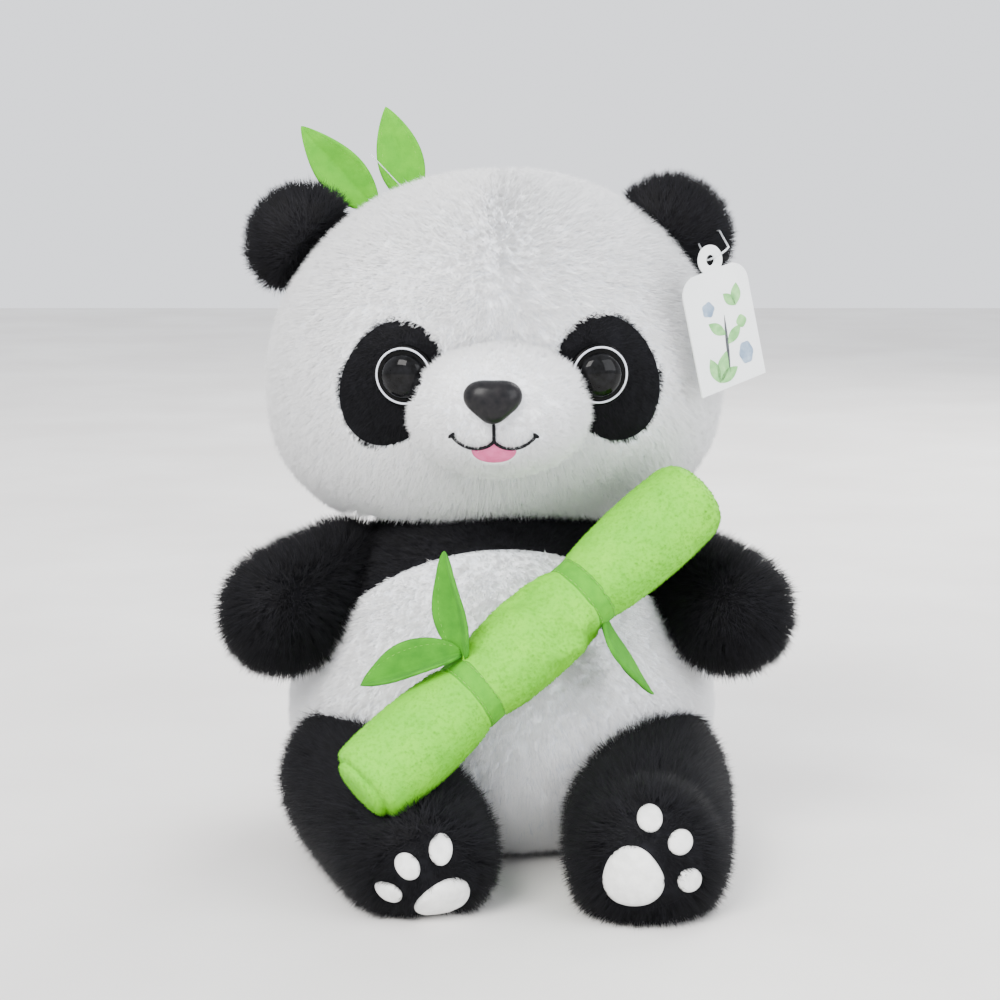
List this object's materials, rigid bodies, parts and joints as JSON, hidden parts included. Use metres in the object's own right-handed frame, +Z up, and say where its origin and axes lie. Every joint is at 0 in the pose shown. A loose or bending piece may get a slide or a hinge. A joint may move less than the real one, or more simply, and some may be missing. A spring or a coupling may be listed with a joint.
{
  "type": "plush panda",
  "caption": "Sitting plush panda with a stuffed bamboo stalk across its belly, felt leaves on its head and a hang tag on one ear.",
  "frame": {"origin": "centre of the flat seat, on the surface that the panda sits on", "axes": "+Z up; the panda faces -Y; its own left side is +X"},
  "size_m": [0.222, 0.2466, 0.3028],
  "materials": {
    "white_plush": "long soft white pile on a knitted backing",
    "black_plush": "long soft black pile on a knitted backing",
    "batting": "loose white polyester fibre fill",
    "pellets": "plastic pellets in a cloth bag",
    "sewing_thread": "stranded sewing thread",
    "eye_plastic": "glossy dark plastic",
    "eye_ring": "white printed ring under gloss",
    "washer_plastic": "translucent moulded plastic",
    "nose_plastic": "smooth glossy dark plastic",
    "tongue_felt": "pink felt",
    "nylon": "clear nylon filament",
    "tag_card": null,
    "head_leaf_fabric": "light green brushed fabric in two layers",
    "bamboo_plush": "short yellow-green nap",
    "bamboo_felt": "mid-green felt",
    "pad_felt": "off-white felt"
  },
  "bodies": {
    "body": {"body_cover_white": "white_plush", "body_yoke_black": "black_plush", "body_stuffing": "batting", "pellet_bag": "pellets", "tail_cover": "black_plush", "tail_stuffing": "batting", "bamboo_tack": "sewing_thread"},
    "head": {"head_cover": "white_plush", "head_stuffing": "batting", "muzzle_cover": "white_plush", "muzzle_stuffing": "batting", "right_eye_patch": "black_plush", "left_eye_patch": "black_plush", "right_eye": "eye_plastic", "left_eye": "eye_plastic", "right_eye_ring": "eye_ring", "left_eye_ring": "eye_ring", "eye_washers": "washer_plastic", "nose": "nose_plastic", "nose_washer": "washer_plastic", "mouth_embroidery": "sewing_thread", "tongue": "tongue_felt", "right_ear_seam": "black_plush", "left_ear_seam": "black_plush", "leaf_thread": "nylon"},
    "right_ear": {"right_ear_cover": "black_plush", "right_ear_stuffing": "batting"},
    "left_ear": {"left_ear_cover": "black_plush", "left_ear_stuffing": "batting", "tag_fastener": "nylon"},
    "tag": {"hang_tag": "tag_card"},
    "head_leaf_outer": {"head_leaf_outer": "head_leaf_fabric"},
    "head_leaf_inner": {"head_leaf_inner": "head_leaf_fabric"},
    "right_arm": {"right_arm_cover": "black_plush", "right_arm_stuffing": "batting"},
    "left_arm": {"left_arm_cover": "black_plush", "left_arm_stuffing": "batting"},
    "right_leg": {"right_leg_cover": "black_plush", "right_leg_stuffing": "batting", "right_sole": "black_plush", "right_paw_pads": "pad_felt"},
    "left_leg": {"left_leg_cover": "black_plush", "left_leg_stuffing": "batting", "left_sole": "black_plush", "left_paw_pads": "pad_felt"},
    "bamboo": {"bamboo_cover": "bamboo_plush", "bamboo_stuffing": "batting", "bamboo_lower_end": "bamboo_plush", "bamboo_upper_end": "bamboo_plush", "bamboo_lower_band": "bamboo_felt", "bamboo_upper_band": "bamboo_felt"},
    "bamboo_leaf_up": {"bamboo_leaf_up": "bamboo_felt"},
    "bamboo_leaf_side": {"bamboo_leaf_side": "bamboo_felt"},
    "bamboo_leaf_down": {"bamboo_leaf_down": "bamboo_felt"}
  },
  "joints": [
    {"name": "head_nod", "type": "hinge", "parent": "body", "child": "head", "pos_m": [-0.00346, 0, 0.20497], "axis": [0.9997, 0, 0.0262], "range_deg": [-8, 8], "stiffness_Nm_per_rad": 3},
    {"name": "right_ear_fold", "type": "hinge", "parent": "head", "child": "right_ear", "pos_m": [-0.08202, 0.005, 0.24793], "axis": [-0.6494, 0, -0.7604], "range_deg": [-12, 12], "stiffness_Nm_per_rad": 0.12},
    {"name": "left_ear_fold", "type": "hinge", "parent": "head", "child": "left_ear", "pos_m": [0.07273, 0.005, 0.25199], "axis": [0.6884, 0, -0.7254], "range_deg": [-12, 5], "stiffness_Nm_per_rad": 0.12},
    {"name": "tag_swing", "type": "hinge", "parent": "left_ear", "child": "tag", "pos_m": [0.08059, -0.048, 0.24219], "axis": [0.5734, -0.8192, 0.015], "range_deg": [0, 25]},
    {"name": "head_leaf_outer_bend", "type": "hinge", "parent": "head", "child": "head_leaf_outer", "pos_m": [-0.058, 0.02, 0.26307], "axis": [0.7351, 0, 0.678], "range_deg": [-20, 20], "stiffness_Nm_per_rad": 0.01},
    {"name": "head_leaf_inner_bend", "type": "hinge", "parent": "head", "child": "head_leaf_inner", "pos_m": [-0.04115, 0.02, 0.26901], "axis": [0.9635, 0, 0.2678], "range_deg": [-20, 12], "stiffness_Nm_per_rad": 0.01},
    {"name": "right_arm_raise", "type": "hinge", "parent": "body", "child": "right_arm", "pos_m": [-0.066, -0.012, 0.112], "axis": [-0.7348, 0.6783, 0], "range_deg": [0, 35], "stiffness_Nm_per_rad": 0.25},
    {"name": "left_arm_raise", "type": "hinge", "parent": "body", "child": "left_arm", "pos_m": [0.066, -0.012, 0.112], "axis": [-0.7348, -0.6783, 0], "range_deg": [0, 35], "stiffness_Nm_per_rad": 0.25},
    {"name": "right_leg_swing", "type": "hinge", "parent": "body", "child": "right_leg", "pos_m": [-0.06, -0.042, 0.028], "axis": [0, 0, 1], "range_deg": [0, 5], "stiffness_Nm_per_rad": 0.6},
    {"name": "left_leg_swing", "type": "hinge", "parent": "body", "child": "left_leg", "pos_m": [0.06, -0.042, 0.028], "axis": [0, 0, 1], "range_deg": [-4, 25], "stiffness_Nm_per_rad": 0.6},
    {"name": "bamboo_tilt", "type": "hinge", "parent": "body", "child": "bamboo", "pos_m": [0.01126, -0.09524, 0.1005], "axis": [-0.106, 0.8908, -0.4419], "range_deg": [0, 8], "stiffness_Nm_per_rad": 0.6},
    {"name": "bamboo_leaf_up_bend", "type": "hinge", "parent": "bamboo", "child": "bamboo_leaf_up", "pos_m": [-0.0159, -0.1107, 0.0965], "axis": [0.7214, -0.6658, 0.1906], "range_deg": [-15, 15], "stiffness_Nm_per_rad": 0.01},
    {"name": "bamboo_leaf_side_bend", "type": "hinge", "parent": "bamboo", "child": "bamboo_leaf_side", "pos_m": [-0.019, -0.1112, 0.0962], "axis": [0.1441, -0.7881, -0.5985], "range_deg": [-12, 0], "stiffness_Nm_per_rad": 0.01},
    {"name": "bamboo_leaf_down_bend", "type": "hinge", "parent": "bamboo", "child": "bamboo_leaf_down", "pos_m": [0.0402, -0.0877, 0.104], "axis": [0.0202, 0.9844, -0.1749], "range_deg": [-12, 12], "stiffness_Nm_per_rad": 0.01}
  ]
}
